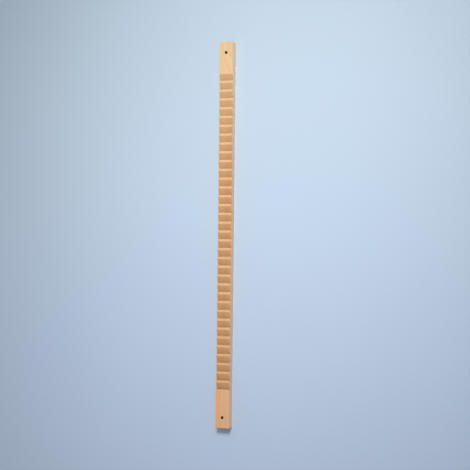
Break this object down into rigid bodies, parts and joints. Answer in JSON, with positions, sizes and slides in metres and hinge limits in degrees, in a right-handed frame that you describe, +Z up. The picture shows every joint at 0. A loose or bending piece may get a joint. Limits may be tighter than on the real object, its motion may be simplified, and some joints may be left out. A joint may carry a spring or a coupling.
{
  "type": "shoulder finger ladder",
  "caption": "Wall-mounted hardwood plank with evenly spaced finger steps cut across its front and plain screwed ends, for walking the fingers upwards in shoulder exercise.",
  "frame": {"origin": "middle of the back face, which lies on the wall, midway between the screws", "axes": "+Z up the ladder, +Y into the wall, -Y towards the user, +X to the right of a user who faces the wall"},
  "size_m": [0.0508, 0.0638, 1.3906],
  "materials": {
    "hardwood": "clear satin lacquer",
    "blackened_steel": "black phosphate"
  },
  "bodies": {
    "root": {"ladder_board": "hardwood", "upper_screw": "blackened_steel", "lower_screw": "blackened_steel"}
  },
  "joints": []
}
